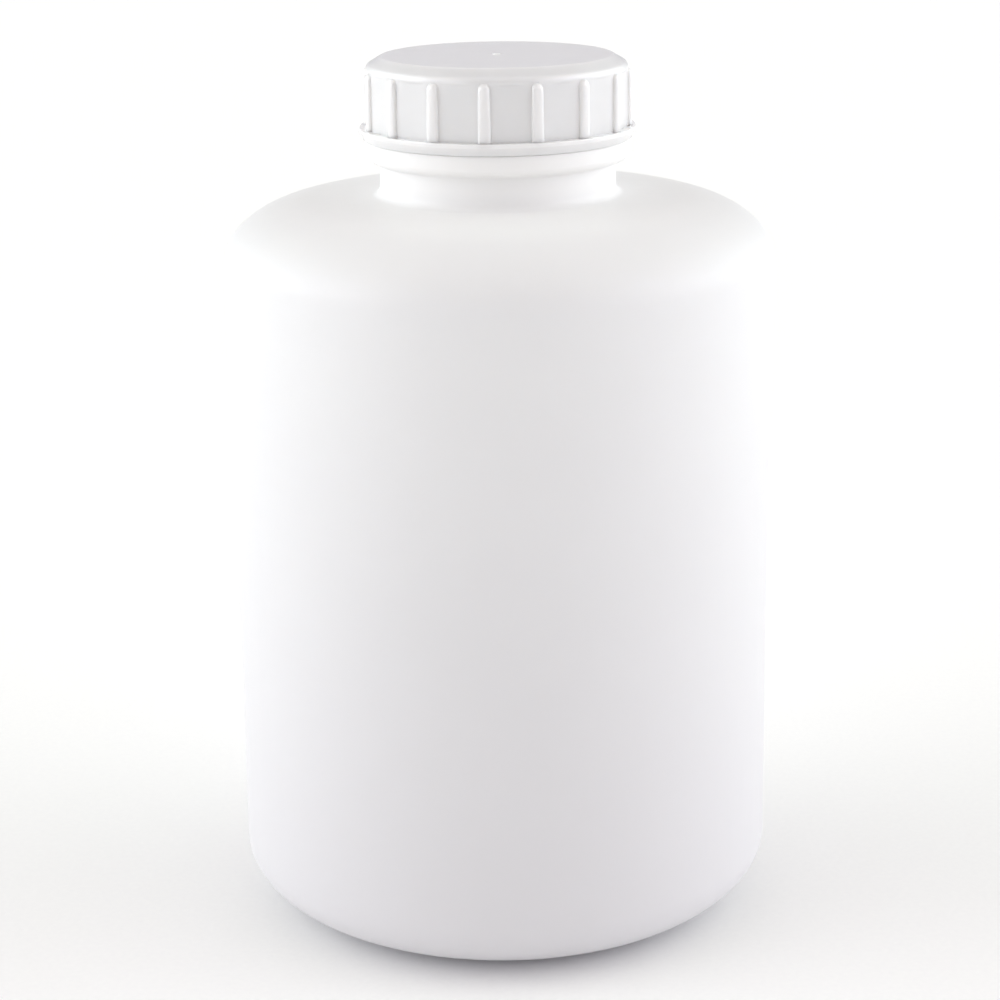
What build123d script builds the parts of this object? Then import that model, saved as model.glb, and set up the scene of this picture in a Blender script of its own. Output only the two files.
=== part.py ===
from build123d import *
from math import cos, degrees, atan2, radians, sin, tan
import os

# Wide-mouth plastic bottle for five litres of reagent: a blow-moulded bottle, a screw cap and the
# cap's loose liner. Millimetres. The origin is the centre of the ring that the bottle stands on, and
# +Z is the bottle's axis. Half sections are drawn in the XZ plane, as radius and height.

# ---- Driving dimensions: bottle -------------------------------------------------------------------
BODY_RADIUS = 89.0
BODY_WALL = 2.0
BASE_WALL = 3.0
PUSH_UP_HEIGHT = 4.5
STANDING_RING_INNER_RADIUS = 49.0
BASE_CORNER_WIDTH = 34.0
BASE_CORNER_HEIGHT = 21.0
SHOULDER_CORNER_WIDTH = 30.8
SHOULDER_CORNER_HEIGHT = 19.4
SHOULDER_CORNER_TOP = 238.4
SHOULDER_SLOPE = 4.0
NECK_RADIUS = 38.0
NECK_WALL = 2.4
NECK_FOOT_FILLET = 3.0
MOUTH_RADIUS = 34.6
MOUTH_TAPER_HEIGHT = 4.0
RING_RADIUS = 42.6
RING_BOTTOM = 250.6
RING_TOP = 257.8
RING_UNDERSIDE_RISE = 0.6
RING_UNDERSIDE_FILLET = 2.6
RING_TOP_FILLET = 0.5
RING_ROOT_FILLET = 1.1
LIP_HEIGHT = 279.7
LIP_FILLET = 0.8

# ---- Driving dimensions: screw thread, the same helix on the neck and in the cap ------------------
THREAD_PITCH = 6.0
THREAD_TURNS = 2.0
THREAD_BASE_WIDTH = 3.2
THREAD_CREST_WIDTH = 1.4
THREAD_SINK = 0.5
NECK_THREAD_BOTTOM = 264.5
NECK_THREAD_ROOT_RADIUS = 36.9
NECK_THREAD_CREST_RADIUS = 38.8
CAP_THREAD_CREST_RADIUS = 37.5

# ---- Driving dimensions: cap ----------------------------------------------------------------------
CAP_TOP = 283.9
CAP_ROOF_THICKNESS = 2.4
CAP_BORE_RADIUS = 39.3
CAP_MOUTH_CHAMFER = 0.6
CAP_ROOF_FILLET = 0.8
CAP_DISC_RADIUS = 37.0
CAP_DISC_FILLET = 2.0
CAP_CORNER_RADIUS = 41.8
CAP_CORNER_HEIGHT = 281.1
CAP_CORNER_FILLET = 2.0
CAP_SKIRT_FOOT_RADIUS = 42.1
FLANGE_RADIUS = 44.2
FLANGE_TOP = 261.6
FLANGE_RIM_HEIGHT = 1.3
FLANGE_FOOT_RADIUS = 43.2
FLANGE_BOTTOM = 257.9
FLANGE_FILLET = 0.3
FACET_APOTHEM = 41.35
FACET_TOP = 279.0
RIB_COUNT = 16
RIB_PHASE = -95.5
RIB_OUTER_RADIUS = 43.3
RIB_FOOT_WIDTH = 4.1
RIB_TOP_WIDTH = 3.5
RIB_TOP = 279.6
RIB_EDGE_FILLET = 1.0
RIB_TOP_FILLET = 1.6
GATE_RADIUS = 1.3
GATE_HEIGHT = 0.3

# ---- Driving dimensions: cap liner ----------------------------------------------------------------
LINER_RADIUS = 38.3
LINER_BOTTOM = 280.0
LINER_THICKNESS = 1.2
LINER_FILLET = 0.2

# ---- Derived --------------------------------------------------------------------------------------
STANDING_RING_OUTER_RADIUS = BODY_RADIUS - BASE_CORNER_WIDTH
SHOULDER_CENTRE_RADIUS = BODY_RADIUS - SHOULDER_CORNER_WIDTH
SHOULDER_CENTRE_HEIGHT = SHOULDER_CORNER_TOP - SHOULDER_CORNER_HEIGHT
NECK_INNER_RADIUS = NECK_RADIUS - NECK_WALL
THREAD_HEIGHT = THREAD_TURNS * THREAD_PITCH
CAP_THREAD_BOTTOM = NECK_THREAD_BOTTOM - THREAD_PITCH / 2
CAP_ROOF_HEIGHT = CAP_TOP - CAP_ROOF_THICKNESS
RIB_ROOT_RADIUS = (CAP_BORE_RADIUS + CAP_CORNER_RADIUS) / 2


def wall_section(inset, floor_height, floor_radius, neck_radius, neck_fillet):
    """The line from the floor up the wall and over the shoulder to the neck; returns its upper end."""
    base = EllipticalCenterArc(
        (STANDING_RING_OUTER_RADIUS, BASE_CORNER_HEIGHT),
        BASE_CORNER_WIDTH - inset,
        BASE_CORNER_HEIGHT - floor_height,
        start_angle=270,
        arc_size=90,
    )
    if floor_radius < STANDING_RING_OUTER_RADIUS:
        Line((floor_radius, floor_height), base @ 0)
    width = SHOULDER_CORNER_WIDTH - inset
    height = SHOULDER_CORNER_HEIGHT - inset
    shoulder_end = degrees(atan2(height, width * tan(radians(SHOULDER_SLOPE))))
    shoulder = EllipticalCenterArc(
        (SHOULDER_CENTRE_RADIUS, SHOULDER_CENTRE_HEIGHT),
        width,
        height,
        start_angle=0,
        arc_size=shoulder_end,
    )
    Line(base @ 1, shoulder @ 0)
    foot_radius = neck_radius + neck_fillet * (1 - sin(radians(SHOULDER_SLOPE)))
    run = ((shoulder @ 1).X - foot_radius) / cos(radians(SHOULDER_SLOPE))
    slope = PolarLine(shoulder @ 1, run, 180 - SHOULDER_SLOPE)
    foot = JernArc(slope @ 1, slope % 1, neck_fillet, SHOULDER_SLOPE - 90)
    return foot @ 1


def thread_section(root_radius, crest_radius):
    """Corners of the thread's trapezoid, as distance out and height, with its base sunk in the wall."""
    depth = crest_radius - root_radius
    crest = THREAD_CREST_WIDTH / 2
    widening = (THREAD_BASE_WIDTH - THREAD_CREST_WIDTH) / 2 / abs(depth)
    sunk = THREAD_BASE_WIDTH / 2 + widening * THREAD_SINK
    sink = -THREAD_SINK if depth > 0 else THREAD_SINK
    return [(sink, -sunk), (depth, -crest), (depth, crest), (sink, sunk)]


# ---- Bottle: one closed half section, turned about the axis, and the external thread --------------
with BuildPart() as bottle:
    with BuildSketch(Plane.XZ):
        with BuildLine():
            TangentArc((0, PUSH_UP_HEIGHT), (STANDING_RING_INNER_RADIUS, 0), tangent=(1, 0))
            outer_neck = wall_section(0, 0, STANDING_RING_INNER_RADIUS, NECK_RADIUS, NECK_FOOT_FILLET)
            inner_neck = wall_section(
                BODY_WALL,
                BASE_WALL,
                STANDING_RING_OUTER_RADIUS,
                NECK_INNER_RADIUS,
                NECK_FOOT_FILLET + NECK_WALL,
            )
            FilletPolyline(
                outer_neck,
                (NECK_RADIUS, RING_BOTTOM),
                (RING_RADIUS, RING_BOTTOM + RING_UNDERSIDE_RISE),
                (RING_RADIUS, RING_TOP),
                (NECK_THREAD_ROOT_RADIUS, RING_TOP),
                (NECK_THREAD_ROOT_RADIUS, LIP_HEIGHT),
                (MOUTH_RADIUS, LIP_HEIGHT),
                (MOUTH_RADIUS, RING_BOTTOM),
                (NECK_INNER_RADIUS, RING_BOTTOM - MOUTH_TAPER_HEIGHT),
                inner_neck,
                radius=[
                    RING_ROOT_FILLET,
                    RING_UNDERSIDE_FILLET,
                    RING_TOP_FILLET,
                    RING_ROOT_FILLET,
                    LIP_FILLET,
                    LIP_FILLET,
                    RING_UNDERSIDE_FILLET,
                    RING_UNDERSIDE_FILLET,
                ],
            )
            TangentArc(
                (0, PUSH_UP_HEIGHT + BASE_WALL), (STANDING_RING_OUTER_RADIUS, BASE_WALL), tangent=(1, 0)
            )
            Line((0, PUSH_UP_HEIGHT), (0, PUSH_UP_HEIGHT + BASE_WALL))
        make_face()
    revolve(axis=Axis.Z)
    with BuildLine() as neck_helix:
        Helix(THREAD_PITCH, THREAD_HEIGHT, NECK_THREAD_ROOT_RADIUS, center=(0, 0, NECK_THREAD_BOTTOM))
    with BuildSketch(Plane(neck_helix.line @ 0, x_dir=(1, 0, 0), z_dir=neck_helix.line % 0)):
        Polygon(*thread_section(NECK_THREAD_ROOT_RADIUS, NECK_THREAD_CREST_RADIUS), align=None)
    sweep(path=neck_helix.line, is_frenet=True)

# ---- One grip rib, at angle zero: a tapering bar that stands on the flange -------------------------
with BuildPart() as grip_rib:
    for rib_height, rib_width in ((FLANGE_TOP, RIB_FOOT_WIDTH), (RIB_TOP, RIB_TOP_WIDTH)):
        with BuildSketch(Plane((RIB_ROOT_RADIUS, 0, rib_height))):
            Rectangle(RIB_OUTER_RADIUS - RIB_ROOT_RADIUS, rib_width, align=(Align.MIN, Align.CENTER))
    loft()
    outer_edges = grip_rib.faces().sort_by(Axis.X)[-1].edges()
    fillet(outer_edges.sort_by(Axis.Z)[-1], RIB_TOP_FILLET)
    outer_edges = grip_rib.faces().filter_by(Axis.X).sort_by(Axis.X)[-1].edges()
    fillet(outer_edges.sort_by(Axis.Z)[1:-1], RIB_EDGE_FILLET)

# ---- Cap: roof, skirt and flange in one half section; facets, ribs, gate mark and thread -----------
with BuildPart() as screw_cap:
    with BuildSketch(Plane.XZ):
        with BuildLine():
            FilletPolyline(
                (0, CAP_TOP),
                (CAP_DISC_RADIUS, CAP_TOP),
                (CAP_CORNER_RADIUS, CAP_CORNER_HEIGHT),
                (CAP_SKIRT_FOOT_RADIUS, FLANGE_TOP),
                (FLANGE_RADIUS, FLANGE_TOP),
                (FLANGE_RADIUS, FLANGE_TOP - FLANGE_RIM_HEIGHT),
                (FLANGE_FOOT_RADIUS, FLANGE_BOTTOM),
                (CAP_BORE_RADIUS + CAP_MOUTH_CHAMFER, FLANGE_BOTTOM),
                (CAP_BORE_RADIUS, FLANGE_BOTTOM + CAP_MOUTH_CHAMFER),
                (CAP_BORE_RADIUS, CAP_ROOF_HEIGHT),
                (0, CAP_ROOF_HEIGHT),
                radius=[
                    CAP_DISC_FILLET,
                    CAP_CORNER_FILLET,
                    FLANGE_FILLET,
                    FLANGE_FILLET,
                    FLANGE_FILLET,
                    FLANGE_FILLET,
                    0,
                    0,
                    CAP_ROOF_FILLET,
                ],
            )
            Line((0, CAP_ROOF_HEIGHT), (0, CAP_TOP))
        make_face()
    revolve(axis=Axis.Z)
    with BuildSketch(Plane.XY.offset(FLANGE_TOP)):
        Circle(FLANGE_RADIUS)
        RegularPolygon(
            FACET_APOTHEM,
            RIB_COUNT,
            major_radius=False,
            rotation=RIB_PHASE,
            mode=Mode.SUBTRACT,
        )
    extrude(amount=FACET_TOP - FLANGE_TOP, mode=Mode.SUBTRACT)
    with PolarLocations(0, RIB_COUNT, start_angle=RIB_PHASE):
        add(grip_rib.part)
    with Locations((0, 0, CAP_TOP)):
        Cylinder(GATE_RADIUS, GATE_HEIGHT, align=(Align.CENTER, Align.CENTER, Align.MIN))
    with BuildLine() as cap_helix:
        Helix(THREAD_PITCH, THREAD_HEIGHT, CAP_BORE_RADIUS, center=(0, 0, CAP_THREAD_BOTTOM))
    with BuildSketch(Plane(cap_helix.line @ 0, x_dir=(1, 0, 0), z_dir=cap_helix.line % 0)):
        Polygon(*thread_section(CAP_BORE_RADIUS, CAP_THREAD_CREST_RADIUS), align=None)
    sweep(path=cap_helix.line, is_frenet=True)

# ---- Liner: a foamed disc, loose between the cap's roof and the bottle's lip -----------------------
with BuildPart() as cap_liner:
    with Locations((0, 0, LINER_BOTTOM)):
        Cylinder(LINER_RADIUS, LINER_THICKNESS, align=(Align.CENTER, Align.CENTER, Align.MIN))
    fillet(cap_liner.edges().filter_by(GeomType.CIRCLE), LINER_FILLET)

# ---- Files -----------------------------------------------------------------------------------------
os.makedirs("parts", exist_ok=True)
bottle.part.label = "bottle"
export_step(bottle.part, "parts/bottle.step")
screw_cap.part.label = "screw_cap"
export_step(screw_cap.part, "parts/screw_cap.step")
cap_liner.part.label = "cap_liner"
export_step(cap_liner.part, "parts/cap_liner.step")
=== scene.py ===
from math import acos, atan2, cos, pi, radians, sin, tan

import bpy
import numpy as np
from mathutils import Euler, Matrix, Vector


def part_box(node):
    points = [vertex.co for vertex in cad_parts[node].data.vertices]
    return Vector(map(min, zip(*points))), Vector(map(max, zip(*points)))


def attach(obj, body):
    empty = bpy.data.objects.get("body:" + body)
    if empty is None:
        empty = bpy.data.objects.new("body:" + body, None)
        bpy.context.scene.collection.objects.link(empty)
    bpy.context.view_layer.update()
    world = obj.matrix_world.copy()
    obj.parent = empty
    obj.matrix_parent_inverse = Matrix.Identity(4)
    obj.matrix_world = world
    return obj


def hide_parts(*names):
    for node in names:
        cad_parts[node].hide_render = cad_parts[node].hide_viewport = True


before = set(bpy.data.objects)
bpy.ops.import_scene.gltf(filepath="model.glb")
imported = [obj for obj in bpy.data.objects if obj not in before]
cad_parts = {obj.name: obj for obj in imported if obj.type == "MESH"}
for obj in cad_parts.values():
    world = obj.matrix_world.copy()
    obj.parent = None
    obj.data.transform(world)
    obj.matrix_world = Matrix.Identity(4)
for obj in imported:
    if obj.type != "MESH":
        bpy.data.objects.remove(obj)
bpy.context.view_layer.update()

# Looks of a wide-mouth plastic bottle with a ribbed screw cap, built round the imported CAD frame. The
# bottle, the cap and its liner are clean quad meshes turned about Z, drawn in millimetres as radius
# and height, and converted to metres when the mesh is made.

MM = 0.001
FULL_TURN = 2 * pi


def box_mm(node):
    """Lowest and highest corner of a CAD node, in millimetres."""
    low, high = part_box(node)
    return np.array(low) / MM, np.array(high) / MM


# ---- Sizes from the frame ---------------------------------------------------------------------------
BOTTLE_LOW, BOTTLE_HIGH = box_mm("bottle")
CAP_LOW, CAP_HIGH = box_mm("screw_cap")
LINER_LOW, LINER_HIGH = box_mm("cap_liner")
BODY_RADIUS = (BOTTLE_HIGH[0] - BOTTLE_LOW[0]) / 2
LIP_HEIGHT = BOTTLE_HIGH[2]
FLANGE_RADIUS = (CAP_HIGH[0] - CAP_LOW[0]) / 2
FLANGE_BOTTOM = CAP_LOW[2]
GATE_HEIGHT = 0.3
CAP_TOP = CAP_HIGH[2] - GATE_HEIGHT
LINER_RADIUS = (LINER_HIGH[0] - LINER_LOW[0]) / 2

# ---- Bottle, mm -------------------------------------------------------------------------------------
BODY_WALL = 2.0
BASE_WALL = 3.0
PUSH_UP_HEIGHT = 4.5
STANDING_RING_INNER = 49.0
BASE_CORNER = (34.0, 21.0)
SHOULDER_CORNER = (30.8, 19.4)
SHOULDER_TOP = 238.4
SHOULDER_SLOPE = radians(4.0)
NECK_RADIUS = 38.0
NECK_WALL = 2.4
NECK_FOOT_FILLET = 3.0
MOUTH_RADIUS = 34.6
RING_RADIUS = 42.6
RING_BOTTOM = 250.6
RING_TOP = 257.8
RING_UNDERSIDE_RISE = 0.6
RING_UNDERSIDE_FILLET = 2.6
RING_ROOT_FILLET = 1.1
RING_TOP_FILLET = 0.5
NECK_JOIN = RING_BOTTOM - 4.0
LIP_FILLET = 0.8
LIP_BAND = 1.5
MOUTH_TAPER_FILLET = 2.0
MOUTH_TAPER_FOOT = NECK_JOIN - 2.0
PANEL_SINK = 0.3
PARTING_RIDGE = 0.12
PARTING_HALF_ANGLE = radians(0.16)
PARTING_BOTTOM = 1.0
SEAM_HALF_LENGTH = 44.0
SEAM_HALF_WIDTH = 0.9
SEAM_HEIGHT = 0.5
SEAM_SINK = 0.3
SEAM_LEAST_WIDTH = 0.05
SEAM_TAPER_POWER = 6
SEAM_ROUNDNESS = 0.7

# ---- Thread, mm: a right-hand helix on the neck, and its match in the cap half a pitch lower ---------
PITCH = 6.0
TURNS = 2.0
THREAD_BASE = 3.2
THREAD_CREST = 1.4
THREAD_RUN_OUT_TURNS = 0.06
RING_PLAIN_BAND = 2.0
CAP_MOUTH_PLAIN_BAND = 0.9
NECK_THREAD_BOTTOM = 264.5
NECK_ROOT_RADIUS = 36.9
NECK_THREAD_DEPTH = 1.9
CAP_THREAD_DEPTH = 1.8

# ---- Cap, mm ----------------------------------------------------------------------------------------
ROOF_THICKNESS = 2.4
BORE_RADIUS = 39.3
CAP_MOUTH_CHAMFER = 0.6
CAP_MOUTH_FILLET = 0.2
ROOF_FILLET = 0.8
ROOF_BAND = 2.0
DISC_RADIUS = 37.0
CAP_CORNER = (41.8, 281.1)
CAP_TOP_FILLET = 2.0
FLANGE_FILLET = 0.3
SKIRT_FOOT_RADIUS = 42.1
FLANGE_TOP = 261.6
FLANGE_RIM_HEIGHT = 1.3
FLANGE_FOOT_RADIUS = 43.2
FACET_APOTHEM = 41.55
FACET_TOP = 279.0
FACET_RUN_OUT = 0.5
RIB_COUNT = 16
RIB_PHASE = radians(-95.5)
RIB_OUTER = 43.2
RIB_FOOT_WIDTH = 4.1
RIB_TOP_WIDTH = 3.5
RIB_TOP = 279.6
RIB_END_ROUND = 1.9
RIB_SQUARENESS = 2.7
GATE_RADIUS = 1.3
GATE_FILLET = 0.12
LINER_FILLET = 0.2

# ---- Mesh density: counts, and the spacing of rows in mm ---------------------------------------------
FILLET_STEPS = 9
CORNER_STEPS = 28
OUTER_DOME_STEPS = 14
INNER_DOME_STEPS = 10
SEAM_ROWS = 40
SEAM_ACROSS = 9
SHORTEST_RUN = 1e-6
SHARP_ANGLE = radians(38)
BOTTLE_COLUMNS = 240
LINER_COLUMNS = 120
RIB_COLUMNS = 18
PANEL_COLUMNS = 9
BODY_ROW = 6.0
CAP_ROW = 2.0
THREAD_ROW = 0.4
RIB_END_ROW = 0.22
RIB_END_SPAN = 4.0
RIB_ROW = 1.0
LEDGE_CLEARANCE = 0.3
LEDGE_STEP = 0.02


# ---- Outlines: radius and height --------------------------------------------------------------------
def rounded(*corners):
    """Outline through (radius, height, fillet) corners; each fillet becomes an arc."""
    outline = [np.array(corners[0][:2], float)]
    for before, corner, after in zip(corners, corners[1:], corners[2:]):
        tip = np.array(corner[:2], float)
        if not corner[2]:
            outline.append(tip)
            continue
        back = np.array(before[:2]) - tip
        ahead = np.array(after[:2]) - tip
        back /= np.linalg.norm(back)
        ahead /= np.linalg.norm(ahead)
        half = acos(back @ ahead) / 2
        reach = corner[2] / tan(half)
        centre = tip + (back + ahead) / np.linalg.norm(back + ahead) * corner[2] / sin(half)
        first = tip + back * reach - centre
        last = tip + ahead * reach - centre
        swing = pi - 2 * half
        for step in range(FILLET_STEPS + 1):
            share = step / FILLET_STEPS
            spoke = (sin((1 - share) * swing) * first + sin(share * swing) * last) / sin(swing)
            outline.append(centre + spoke)
    outline.append(np.array(corners[-1][:2], float))
    return outline


def ellipse(centre, width, height, start, end, steps):
    """Points of an ellipse's arc, from angle start to angle end."""
    angles = np.linspace(start, end, steps)
    return [np.array([centre[0] + width * cos(a), centre[1] + height * sin(a)]) for a in angles]


def dome(top, rim_radius, rim_height, steps):
    """Points of a shallow arc from the axis, where it is level, to its rim."""
    sag = top - rim_height
    radius = (rim_radius**2 + sag**2) / (2 * sag)
    reach = np.linspace(0, rim_radius, steps)
    return [np.array([r, top - radius + (radius**2 - r**2) ** 0.5]) for r in reach]


def filled(outline, longest):
    """The outline with points added so that no run is longer than longest."""
    result = [outline[0]]
    for a, b in zip(outline, outline[1:]):
        length = np.linalg.norm(b - a)
        if length < SHORTEST_RUN:
            continue
        count = max(1, int(np.ceil(length / longest)))
        result += [a + (b - a) * k / count for k in range(1, count + 1)]
    return result


def wall(inset, floor_height, floor_radius, neck_radius, neck_fillet):
    """Outline from the floor up the wall and over the shoulder to the neck."""
    base_width, base_height = BASE_CORNER
    shoulder_width = SHOULDER_CORNER[0] - inset
    shoulder_height = SHOULDER_CORNER[1] - inset
    base_centre = (BODY_RADIUS - base_width, base_height)
    shoulder_centre = (BODY_RADIUS - SHOULDER_CORNER[0], SHOULDER_TOP - SHOULDER_CORNER[1])
    base_sizes = (base_width - inset, base_height - floor_height)
    base = ellipse(base_centre, *base_sizes, -pi / 2, 0, CORNER_STEPS)
    end = atan2(shoulder_height, shoulder_width * tan(SHOULDER_SLOPE))
    shoulder = ellipse(shoulder_centre, shoulder_width, shoulder_height, 0, end, CORNER_STEPS)
    foot_rise = (shoulder[-1][0] - neck_radius) * tan(SHOULDER_SLOPE)
    foot = (neck_radius, shoulder[-1][1] + foot_rise, neck_fillet)
    neck = rounded((*shoulder[-1], 0), foot, (neck_radius, NECK_JOIN, 0))
    return [np.array([floor_radius, floor_height]), *base, *shoulder, *neck[1:]]


# ---- Meshes turned about Z --------------------------------------------------------------------------
def turned_mesh(name, rings):
    """A closed mesh from rings of (columns, 3) points in mm; the first and last are single poles."""
    columns = len(rings[1])
    points = np.concatenate([np.atleast_2d(ring) for ring in rings]) * MM
    faces = []
    ahead = [(c + 1) % columns for c in range(columns)]
    for c in range(columns):
        faces.append((0, 1 + ahead[c], 1 + c))
    for r in range(len(rings) - 3):
        low = 1 + r * columns
        high = low + columns
        for c in range(columns):
            faces.append((low + c, low + ahead[c], high + ahead[c], high + c))
    last = len(points) - 1
    low = last - columns
    for c in range(columns):
        faces.append((low + c, low + ahead[c], last))
    mesh = bpy.data.meshes.new(name)
    mesh.from_pydata(points.tolist(), [], faces)
    mesh.validate()
    mesh.shade_smooth()
    mesh.set_sharp_from_angle(angle=SHARP_ANGLE)
    piece = bpy.data.objects.new(name, mesh)
    bpy.context.scene.collection.objects.link(piece)
    return piece


def ring_of(radius, height, angles):
    """A ring of points; radius and height may be numbers or one value for each angle."""
    radius = np.broadcast_to(radius, angles.shape)
    height = np.broadcast_to(height, angles.shape)
    return np.stack([radius * np.cos(angles), radius * np.sin(angles), height], axis=1)


def smooth(share):
    """Smooth step from 0 to 1."""
    share = np.clip(share, 0, 1)
    return share * share * (3 - 2 * share)


def thread_height(angles, height, bottom, depth):
    """How far the thread stands out of its wall at each angle, at one height."""
    flank = (THREAD_BASE - THREAD_CREST) / 2
    best = np.zeros_like(angles)
    for lap in range(int(TURNS) + 1):
        along = (angles % FULL_TURN) / FULL_TURN + lap
        away = np.abs(height - bottom - PITCH * along)
        ends = smooth(np.minimum(along, TURNS - along) / THREAD_RUN_OUT_TURNS)
        stands = np.clip((THREAD_BASE / 2 - away) / flank, 0, 1) * ends
        best = np.maximum(best, stands * depth)
    return best


# ---- Bottle -----------------------------------------------------------------------------------------
def bottle_angles():
    """Even columns, with fine ones beside the mould's two parting lines on the X axis."""
    even = np.arange(BOTTLE_COLUMNS) * FULL_TURN / BOTTLE_COLUMNS
    fine = [side + k * PARTING_HALF_ANGLE for side in (0, pi) for k in (-2, -1, -0.5, 0.5, 1, 2)]
    return np.unique(np.round(np.concatenate([even, fine]) % FULL_TURN, 7))


def make_bottle():
    angles = bottle_angles()
    from_parting = np.abs((angles + pi / 2) % pi - pi / 2)
    parting = 1 - smooth(from_parting / (2 * PARTING_HALF_ANGLE))
    outer = dome(PUSH_UP_HEIGHT, STANDING_RING_INNER, 0, OUTER_DOME_STEPS)
    outer += wall(0, 0, STANDING_RING_INNER, NECK_RADIUS, NECK_FOOT_FILLET)[1:]
    outer += rounded(
        (NECK_RADIUS, NECK_JOIN, 0),
        (NECK_RADIUS, RING_BOTTOM, RING_ROOT_FILLET),
        (RING_RADIUS, RING_BOTTOM + RING_UNDERSIDE_RISE, RING_UNDERSIDE_FILLET),
        (RING_RADIUS, RING_TOP, RING_TOP_FILLET),
        (NECK_ROOT_RADIUS, RING_TOP, RING_ROOT_FILLET),
        (NECK_ROOT_RADIUS, RING_TOP + RING_PLAIN_BAND, 0),
    )[1:]
    lip = rounded(
        (NECK_ROOT_RADIUS, LIP_HEIGHT - LIP_BAND, 0),
        (NECK_ROOT_RADIUS, LIP_HEIGHT, LIP_FILLET),
        (MOUTH_RADIUS, LIP_HEIGHT, LIP_FILLET),
        (MOUTH_RADIUS, RING_BOTTOM, RING_UNDERSIDE_FILLET),
        (NECK_RADIUS - NECK_WALL, NECK_JOIN, MOUTH_TAPER_FILLET),
        (NECK_RADIUS - NECK_WALL, MOUTH_TAPER_FOOT, 0),
    )
    base_edge = BODY_RADIUS - BASE_CORNER[0]
    inner = wall(BODY_WALL, BASE_WALL, base_edge, NECK_RADIUS - NECK_WALL, NECK_FOOT_FILLET + NECK_WALL)
    inside_floor = dome(PUSH_UP_HEIGHT + BASE_WALL, base_edge, BASE_WALL, INNER_DOME_STEPS)
    inner = inner[1:-1][::-1] + inside_floor[-2::-1]
    finish_bottom = outer[-1][1]
    finish = np.arange(finish_bottom + THREAD_ROW, LIP_HEIGHT - LIP_BAND, THREAD_ROW)
    outer = filled(outer, BODY_ROW)
    inner = filled(lip, BODY_ROW) + filled(inner, 2 * BODY_ROW)
    rings = [(0, 0, outer[0][1])]
    panel_middle = (BASE_CORNER[1] + SHOULDER_TOP - SHOULDER_CORNER[1]) / 2
    panel_half = panel_middle - BASE_CORNER[1]
    for radius, height in outer[1:]:
        share = 1 - ((height - panel_middle) / panel_half) ** 2
        sink = PANEL_SINK * np.clip(share, 0, 1) if radius > NECK_RADIUS else 0
        ridge = PARTING_RIDGE * (parting - 1) if height > PARTING_BOTTOM else 0
        rings.append(ring_of(radius - sink + ridge, height, angles))
    for height in finish:
        stands = thread_height(angles, height, NECK_THREAD_BOTTOM, NECK_THREAD_DEPTH)
        rings.append(ring_of(NECK_ROOT_RADIUS + stands, height, angles))
    for radius, height in inner[:-1]:
        rings.append(ring_of(radius, height, angles))
    rings.append((0, 0, inner[-1][1]))
    piece = turned_mesh("bottle_shell", rings)
    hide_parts("bottle")
    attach(piece, "bottle_body")
    return piece


def make_pinch_seam():
    """The raised line across the base where the blow mould pinched the plastic tube shut."""
    rows = []
    radius = (STANDING_RING_INNER**2 + PUSH_UP_HEIGHT**2) / (2 * PUSH_UP_HEIGHT)
    for x in np.linspace(-SEAM_HALF_LENGTH, SEAM_HALF_LENGTH, SEAM_ROWS):
        surface = PUSH_UP_HEIGHT - radius + (radius**2 - x**2) ** 0.5
        taper = (1 - abs(x / SEAM_HALF_LENGTH) ** SEAM_TAPER_POWER) ** 0.5
        for a in np.linspace(0, pi, SEAM_ACROSS):
            y = -SEAM_HALF_WIDTH * cos(a) * max(taper, SEAM_LEAST_WIDTH)
            drop = SEAM_HEIGHT * sin(a) ** SEAM_ROUNDNESS * taper if 0 < a < pi else -SEAM_SINK
            rows.append((x, y, surface - drop))
    faces = []
    for r in range(SEAM_ROWS - 1):
        low = r * SEAM_ACROSS
        high = low + SEAM_ACROSS
        for c in range(SEAM_ACROSS):
            d = (c + 1) % SEAM_ACROSS
            faces.append((low + c, low + d, high + d, high + c))
    last = (SEAM_ROWS - 1) * SEAM_ACROSS
    faces.append(tuple(range(SEAM_ACROSS)))
    faces.append(tuple(range(last, last + SEAM_ACROSS))[::-1])
    mesh = bpy.data.meshes.new("base_pinch_seam")
    mesh.from_pydata((np.array(rows) * MM).tolist(), [], faces)
    mesh.shade_smooth()
    piece = bpy.data.objects.new("base_pinch_seam", mesh)
    bpy.context.scene.collection.objects.link(piece)
    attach(piece, "bottle_body")
    return piece


# ---- Cap --------------------------------------------------------------------------------------------
def rib_columns(height):
    """Each column's angle, and its share of a rib's height, at one height of the cap."""
    share = np.clip((height - FLANGE_TOP) / (RIB_TOP - FLANGE_TOP), 0, 1)
    half_width = (RIB_FOOT_WIDTH + (RIB_TOP_WIDTH - RIB_FOOT_WIDTH) * share) / 2
    sweep = np.linspace(pi, 0, RIB_COLUMNS)
    power = 2 / RIB_SQUARENESS
    across = half_width * np.sign(np.cos(sweep)) * np.abs(np.cos(sweep)) ** power
    stands = np.abs(np.sin(sweep)) ** power
    stands[0] = stands[-1] = 0
    rib_angle = across / CAP_CORNER[0]
    gap = FULL_TURN / RIB_COUNT - 2 * rib_angle[-1]
    panel_angle = rib_angle[-1] + gap * np.arange(1, PANEL_COLUMNS + 1) / (PANEL_COLUMNS + 1)
    angles = np.concatenate([rib_angle, panel_angle])
    stands = np.concatenate([stands, np.zeros(PANEL_COLUMNS)])
    across = np.concatenate([across, np.full(PANEL_COLUMNS, half_width)])
    starts = RIB_PHASE + np.arange(RIB_COUNT) * FULL_TURN / RIB_COUNT
    every = (starts[:, None] + angles[None, :]).ravel()
    return every, np.tile(stands, RIB_COUNT), np.tile(across / half_width, RIB_COUNT), half_width


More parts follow.
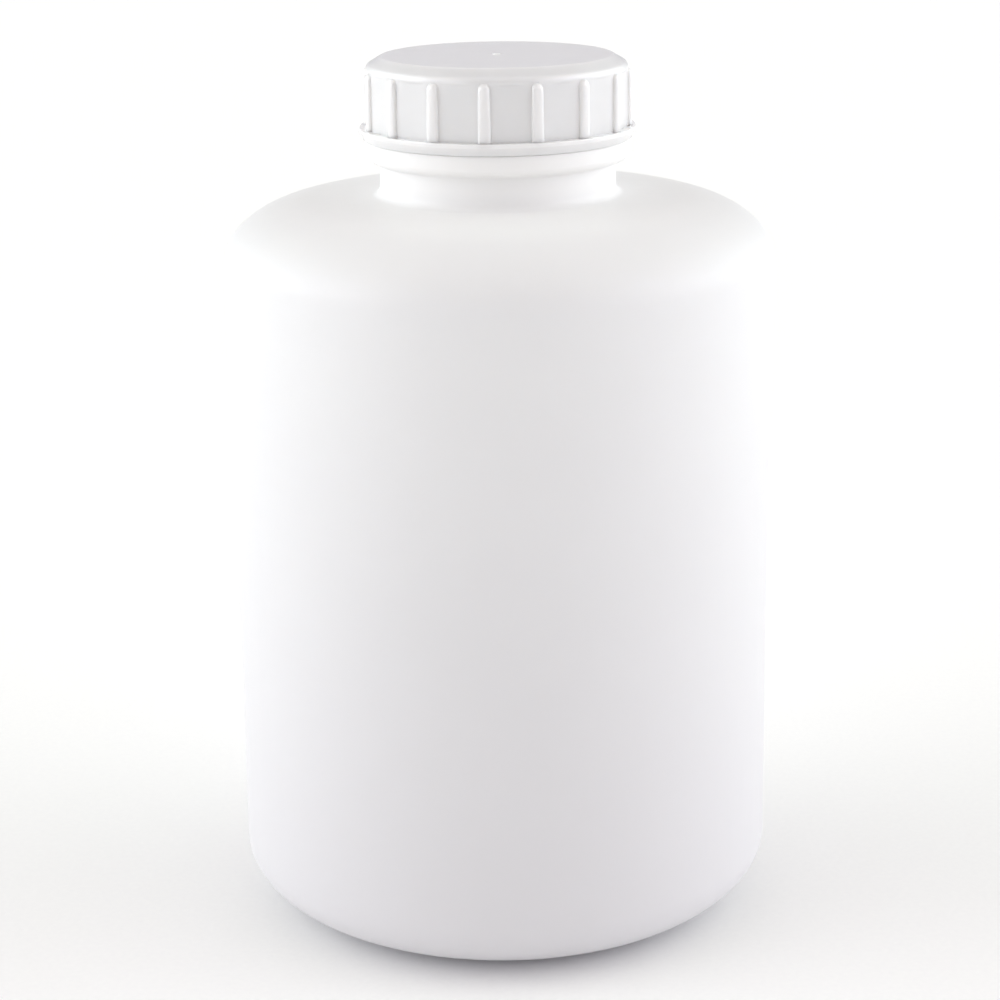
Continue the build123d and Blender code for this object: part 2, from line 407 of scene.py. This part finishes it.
def skirt_ring(radius, height):
    """One ring of the cap's ribbed skirt: round, cut by the facets, with the ribs standing out."""
    angles, stands, across, half_width = rib_columns(height)
    ring = np.full(angles.shape, float(radius))
    step = FULL_TURN / RIB_COUNT
    from_middle = (angles - RIB_PHASE) % step - step / 2
    facet = np.minimum(ring, FACET_APOTHEM / np.cos(from_middle))
    ring += (facet - ring) * smooth((FACET_TOP + FACET_RUN_OUT - height) / FACET_RUN_OUT)
    arched_top = RIB_TOP - half_width * (1 - np.sqrt(np.clip(1 - across**2, 0, 1)))
    end = np.clip((arched_top - height) / RIB_END_ROUND, 0, 1)
    end = np.sqrt(1 - (1 - end) ** 2)
    return ring_of(ring + stands * end * (RIB_OUTER - ring), height, angles)


def make_cap():
    top = rounded(
        (0, CAP_TOP + GATE_HEIGHT, 0),
        (GATE_RADIUS, CAP_TOP + GATE_HEIGHT, GATE_FILLET),
        (GATE_RADIUS, CAP_TOP, GATE_FILLET),
        (DISC_RADIUS, CAP_TOP, CAP_TOP_FILLET),
        (*CAP_CORNER, CAP_TOP_FILLET),
        (SKIRT_FOOT_RADIUS, FLANGE_TOP, 0),
    )
    flange = rounded(
        (SKIRT_FOOT_RADIUS, FLANGE_TOP, 0),
        (FLANGE_RADIUS, FLANGE_TOP, FLANGE_FILLET),
        (FLANGE_RADIUS, FLANGE_TOP - FLANGE_RIM_HEIGHT, FLANGE_FILLET),
        (FLANGE_FOOT_RADIUS, FLANGE_BOTTOM, FLANGE_FILLET),
        (BORE_RADIUS + CAP_MOUTH_CHAMFER, FLANGE_BOTTOM, CAP_MOUTH_FILLET),
        (BORE_RADIUS, FLANGE_BOTTOM + CAP_MOUTH_CHAMFER, 0),
    )
    roof_height = CAP_TOP - ROOF_THICKNESS
    roof = rounded(
        (BORE_RADIUS, roof_height - ROOF_BAND, 0),
        (BORE_RADIUS, roof_height, ROOF_FILLET),
        (0, roof_height, 0),
    )
    plain = rib_columns(FLANGE_TOP)[0]
    rings = [(0, 0, top[0][1])]
    shown = [point for point in filled(top, CAP_ROW) if point[1] > RIB_TOP]
    skirt_radii, skirt_heights = zip(*top[:-3:-1])
    rows = np.concatenate([
        np.arange(RIB_TOP, RIB_TOP - RIB_END_SPAN, -RIB_END_ROW),
        np.arange(RIB_TOP - RIB_END_SPAN, FLANGE_TOP + LEDGE_CLEARANCE, -RIB_ROW),
        [FLANGE_TOP + LEDGE_STEP],
    ])
    for radius, height in shown[1:]:
        rings.append(ring_of(radius, height, rib_columns(height)[0]))
    for height in np.unique(np.round(rows, 4))[::-1]:
        rings.append(skirt_ring(np.interp(height, skirt_heights, skirt_radii), height))
    for radius, height in filled(flange, CAP_ROW):
        rings.append(ring_of(radius, height, plain))
    bore_rows = np.arange(FLANGE_BOTTOM + CAP_MOUTH_PLAIN_BAND, roof_height - ROOF_BAND, THREAD_ROW)
    for height in bore_rows:
        stands = thread_height(plain, height, NECK_THREAD_BOTTOM - PITCH / 2, CAP_THREAD_DEPTH)
        rings.append(ring_of(BORE_RADIUS - stands, height, plain))
    for radius, height in filled(roof, 2 * CAP_ROW)[:-1]:
        rings.append(ring_of(radius, height, plain))
    rings.append((0, 0, roof_height))
    piece = turned_mesh("ribbed_cap", rings)
    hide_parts("screw_cap")
    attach(piece, "cap_body")
    return piece


def make_liner():
    low, high = LINER_LOW[2], LINER_HIGH[2]
    outline = rounded(
        (0, high, 0),
        (LINER_RADIUS, high, LINER_FILLET),
        (LINER_RADIUS, low, LINER_FILLET),
        (0, low, 0),
    )
    outline = filled(outline, 3 * CAP_ROW)
    angles = np.arange(LINER_COLUMNS) * FULL_TURN / LINER_COLUMNS
    rings = [(0, 0, high)]
    rings += [ring_of(radius, height, angles) for radius, height in outline[1:-1]]
    rings.append((0, 0, low))
    piece = turned_mesh("liner_disc", rings)
    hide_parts("cap_liner")
    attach(piece, "liner_body")
    return piece


# ---- Materials --------------------------------------------------------------------------------------
# Heights in metres between which a colour changes: painted shade darkening the bottle's low wall, the
# neck whiter partly from its thicker plastic and partly as a painted glow, and painted shade darkening
# the cap's top.
LOW_WALL_PAINTED_SHADE = (0.02, 0.20)
NECK_WHITE_AND_PAINTED_GLOW = (0.236, 0.246)
CAP_TOP_PAINTED_SHADE = (0.2790, 0.2812)


class Nodes:
    """A material's node tree, with short calls for the nodes that the plastics share."""

    def __init__(self, name):
        self.material = bpy.data.materials.new(name)
        self.material.use_nodes = True
        self.tree = self.material.node_tree
        self.shader = self.tree.nodes["Principled BSDF"]
        self.place = self.tree.nodes.new("ShaderNodeTexCoord").outputs["Object"]

    def link(self, source, target):
        self.tree.links.new(source, target)

    def node(self, kind, inputs=(), **settings):
        made = self.tree.nodes.new("ShaderNode" + kind)
        for key, value in settings.items():
            setattr(made, key, value)
        for key, value in dict(inputs).items():
            if isinstance(value, bpy.types.NodeSocket):
                self.link(value, made.inputs[key])
            else:
                made.inputs[key].default_value = value
        return made

    def noise(self, size, detail=3.0, roughness=0.5, stretch=(1, 1, 1)):
        """Noise with features of about that size in mm."""
        scale = self.node("Mapping", {"Vector": self.place, "Scale": stretch})
        inputs = {
            "Vector": scale.outputs[0],
            "Scale": 1 / (size * MM),
            "Detail": detail,
            "Roughness": roughness,
        }
        return self.node("TexNoise", inputs).outputs["Fac"]

    def spread(self, value, low, high, from_low=0.3, from_high=0.7):
        """The value mapped from its usual span to low..high."""
        inputs = {
            "Value": value,
            "From Min": from_low,
            "From Max": from_high,
            "To Min": low,
            "To Max": high,
        }
        return self.node("MapRange", inputs).outputs["Result"]

    def mix(self, share, first, second):
        """Colour mix; share is 0 for first and 1 for second."""
        made = self.node("Mix", data_type="RGBA")
        self.link(share, made.inputs[0])
        for socket, value in ((made.inputs[6], first), (made.inputs[7], second)):
            if isinstance(value, bpy.types.NodeSocket):
                self.link(value, socket)
            else:
                socket.default_value = (*value, 1)
        return made.outputs[2]

    def maths(self, operation, first, second):
        return self.node("Math", {0: first, 1: second}, operation=operation).outputs[0]

    def bump(self, height, depth, before=None):
        """Bump whose full height is depth in mm."""
        inputs = {"Height": height, "Distance": depth * MM, "Strength": 1.0}
        if before is not None:
            inputs["Normal"] = before
        return self.node("Bump", inputs).outputs["Normal"]


def specks(nodes, spacing, size, share):
    """1 inside a few tiny specks, else 0: about one cell in 1/share holds one."""
    cells = nodes.node("TexVoronoi", {"Vector": nodes.place, "Scale": 1 / (spacing * MM)})
    near = nodes.maths("LESS_THAN", cells.outputs["Distance"], size / 2 / spacing)
    pick = nodes.node("SeparateColor", {"Color": cells.outputs["Color"]}).outputs[0]
    return nodes.maths("MULTIPLY", near, nodes.maths("LESS_THAN", pick, share))


def bottle_plastic():
    """Blow-moulded polyethylene: satin, faintly mottled, with painted shade darkening the low wall, and
    whiter at the neck, partly from its thicker plastic and partly as a painted glow.
    """
    nodes = Nodes("bottle_plastic")
    height = nodes.node("SeparateXYZ", {"Vector": nodes.place}).outputs[2]
    mottle = nodes.spread(nodes.noise(60, 2), 0, 1)
    colour = nodes.mix(mottle, (0.800, 0.799, 0.802), (0.782, 0.781, 0.786))
    # painted shade: the bottle's wall is darker in colour towards the bottom
    low_wall_painted_shade = nodes.spread(height, 1, 0, *LOW_WALL_PAINTED_SHADE)
    colour = nodes.mix(low_wall_painted_shade, colour, (0.690, 0.680, 0.700))
    # the neck is whiter: partly its thicker plastic, partly a painted glow of light passing through it
    neck_white_and_painted_glow = nodes.spread(height, 0, 1, *NECK_WHITE_AND_PAINTED_GLOW)
    colour = nodes.mix(neck_white_and_painted_glow, colour, (0.885, 0.882, 0.872))
    rub = nodes.spread(nodes.noise(5, 4, 0.6, (1, 1, 0.12)), 0, 1)
    colour = nodes.mix(specks(nodes, 30, 0.7, 0.3), colour, (0.42, 0.40, 0.38))
    nodes.link(colour, nodes.shader.inputs["Base Color"])
    nodes.link(nodes.spread(rub, 0.42, 0.50, 0, 1), nodes.shader.inputs["Roughness"])
    peel = nodes.bump(nodes.noise(1.6, 2), 0.008)
    waves = nodes.bump(nodes.noise(22, 1), 0.04, peel)
    nodes.link(waves, nodes.shader.inputs["Normal"])
    nodes.shader.inputs["IOR"].default_value = 1.5
    nodes.shader.inputs["Subsurface Weight"].default_value = 0.3
    nodes.shader.inputs["Subsurface Radius"].default_value = (1.0, 0.95, 0.9)
    nodes.shader.inputs["Subsurface Scale"].default_value = 3.0 * MM
    return nodes.material


def cap_plastic():
    """Injection-moulded polypropylene: glossy, with faint flow marks, and painted shade darkening its
    top.
    """
    nodes = Nodes("cap_plastic")
    flow = nodes.spread(nodes.noise(18, 2, 0.5, (1, 1, 0.4)), 0, 1)
    colour = nodes.mix(flow, (0.785, 0.780, 0.778), (0.770, 0.766, 0.766))
    height = nodes.node("SeparateXYZ", {"Vector": nodes.place}).outputs[2]
    # painted shade: the top of the cap is darker in colour
    colour = nodes.mix(nodes.spread(height, 0, 1, *CAP_TOP_PAINTED_SHADE), colour, (0.735, 0.730, 0.736))
    nodes.link(colour, nodes.shader.inputs["Base Color"])
    rub = nodes.spread(nodes.noise(7, 2, 0.5), 0.31, 0.36)
    nodes.link(rub, nodes.shader.inputs["Roughness"])
    peel = nodes.bump(nodes.noise(1.2, 2), 0.002)
    waves = nodes.bump(nodes.noise(12, 1), 0.01, peel)
    nodes.link(waves, nodes.shader.inputs["Normal"])
    nodes.shader.inputs["IOR"].default_value = 1.49
    nodes.shader.inputs["Coat Weight"].default_value = 0.8
    nodes.shader.inputs["Coat IOR"].default_value = 1.7
    nodes.shader.inputs["Coat Roughness"].default_value = 0.15
    nodes.shader.inputs["Subsurface Weight"].default_value = 0.9
    nodes.shader.inputs["Subsurface Radius"].default_value = (1.0, 0.95, 0.9)
    nodes.shader.inputs["Subsurface Scale"].default_value = 5.0 * MM
    return nodes.material


def liner_foam():
    """Foamed polyethylene: fine closed cells under a dull skin."""
    nodes = Nodes("liner_foam")
    cells = nodes.node("TexVoronoi", {"Vector": nodes.place, "Scale": 1 / (0.6 * MM)})
    shade = nodes.spread(cells.outputs["Distance"], 0, 1, 0, 0.8)
    colour = nodes.mix(shade, (0.80, 0.81, 0.80), (0.72, 0.73, 0.73))
    nodes.link(colour, nodes.shader.inputs["Base Color"])
    nodes.link(nodes.spread(nodes.noise(3), 0.6, 0.8), nodes.shader.inputs["Roughness"])
    nodes.link(nodes.bump(cells.outputs["Distance"], 0.05), nodes.shader.inputs["Normal"])
    return nodes.material


def stage_paper():
    """Pale seamless paper under the object."""
    nodes = Nodes("stage_paper")
    grain = nodes.spread(nodes.noise(2, 4), 0, 1)
    colour = nodes.mix(grain, (0.93, 0.93, 0.93), (0.91, 0.91, 0.915))
    nodes.link(colour, nodes.shader.inputs["Base Color"])
    nodes.shader.inputs["Roughness"].default_value = 0.9
    return nodes.material


# ---- Stage, light and camera ------------------------------------------------------------------------
FLOOR_HALF = 6.0
# Each lamp's glow: azimuth from the front and elevation in degrees, sharpness, strength, colour.
LIGHTS = {
    "side_left": (-75, 10, 6, 2.56, (0.97, 0.96, 1.06)),
    "side_right": (75, 10, 6, 2.00, (0.98, 0.93, 1.09)),
    "rim_left": (-110, 10, 6, 1.80, (0.93, 1.05, 1.02)),
    "rim_right": (110, 10, 6, 2.12, (0.93, 1.05, 1.02)),
    "top": (0, 88, 4, 0.21, (0.85, 0.92, 1.23)),
    "back_low": (180, 8, 8, 0.33, (0.95, 0.95, 1.10)),
    "back": (180, 45, 6, 0.43, (1.10, 0.97, 0.93)),
    "high_left": (-70, 50, 5, 0.42, (1.18, 1.07, 0.75)),
    "high_right": (70, 50, 5, 0.46, (1.17, 1.08, 0.75)),
}
AMBIENT = (0.205, 0.200, 0.196)
# Distance and aim height in body radii, pitch and roll in radians, lens in mm, shift in frame widths.
CAMERA_DISTANCE = 9.1077
CAMERA_AIM = 1.528
CAMERA_PITCH = 0.2885
CAMERA_ROLL = 0.0119
CAMERA_LENS = 90.95
CAMERA_SHIFT = 0.0018


def make_floor():
    mesh = bpy.data.meshes.new("floor")
    corners = [(x * FLOOR_HALF, y * FLOOR_HALF, 0) for x, y in ((-1, -1), (1, -1), (1, 1), (-1, 1))]
    mesh.from_pydata(corners, [], [(0, 1, 2, 3)])
    floor = bpy.data.objects.new("floor", mesh)
    bpy.context.scene.collection.objects.link(floor)
    return floor


def calculated(tree, kind, operation, *inputs):
    """A maths node whose inputs, in order, are sockets or plain values."""
    made = tree.nodes.new("ShaderNode" + kind)
    made.operation = operation
    for socket, value in zip(made.inputs, inputs):
        if isinstance(value, bpy.types.NodeSocket):
            tree.links.new(value, socket)
        else:
            socket.default_value = value
    return made


def make_world():
    """White where the camera looks; as light, a soft surround with a broad glow for each lamp."""
    world = bpy.data.worlds.new("studio")
    bpy.context.scene.world = world
    world.use_nodes = True
    tree = world.node_tree
    tree.nodes.clear()
    toward = tree.nodes.new("ShaderNodeTexCoord").outputs["Generated"]
    total = AMBIENT
    for azimuth, elevation, sharpness, strength, colour in LIGHTS.values():
        a, e = radians(azimuth), radians(elevation)
        direction = (sin(a) * cos(e), -cos(a) * cos(e), sin(e))
        facing = calculated(tree, "VectorMath", "DOT_PRODUCT", toward, direction).outputs["Value"]
        front = calculated(tree, "Math", "MAXIMUM", facing, 0).outputs["Value"]
        glow = calculated(tree, "Math", "POWER", front, sharpness).outputs["Value"]
        power = Vector(colour) * strength
        total = calculated(tree, "VectorMath", "MULTIPLY_ADD", glow, power, total).outputs["Vector"]
    lit = tree.nodes.new("ShaderNodeBackground")
    tree.links.new(total, lit.inputs["Color"])
    seen = tree.nodes.new("ShaderNodeBackground")
    seen.inputs["Color"].default_value = (1, 1, 1, 1)
    path = tree.nodes.new("ShaderNodeLightPath")
    mix = tree.nodes.new("ShaderNodeMixShader")
    out = tree.nodes.new("ShaderNodeOutputWorld")
    tree.links.new(path.outputs["Is Camera Ray"], mix.inputs[0])
    tree.links.new(lit.outputs[0], mix.inputs[1])
    tree.links.new(seen.outputs[0], mix.inputs[2])
    tree.links.new(mix.outputs[0], out.inputs[0])


def make_camera():
    scale = BODY_RADIUS * MM
    data = bpy.data.cameras.new("camera")
    data.sensor_width = 36.0
    data.lens = CAMERA_LENS
    data.shift_x = -CAMERA_SHIFT
    camera = bpy.data.objects.new("camera", data)
    height = (CAMERA_AIM + CAMERA_DISTANCE * tan(CAMERA_PITCH)) * scale
    camera.location = (0, -CAMERA_DISTANCE * scale, height)
    tilt = Euler((pi / 2 - CAMERA_PITCH, 0, 0)).to_matrix()
    camera.rotation_euler = (tilt @ Matrix.Rotation(-CAMERA_ROLL, 3, "Z")).to_euler()
    bpy.context.scene.collection.objects.link(camera)
    bpy.context.scene.camera = camera


# ---- Everything -------------------------------------------------------------------------------------
shell_finish = bottle_plastic()
make_bottle().data.materials.append(shell_finish)
make_pinch_seam().data.materials.append(shell_finish)
make_cap().data.materials.append(cap_plastic())
make_liner().data.materials.append(liner_foam())
make_floor().data.materials.append(stage_paper())
make_world()
make_camera()
bpy.context.scene.view_settings.view_transform = "Standard"
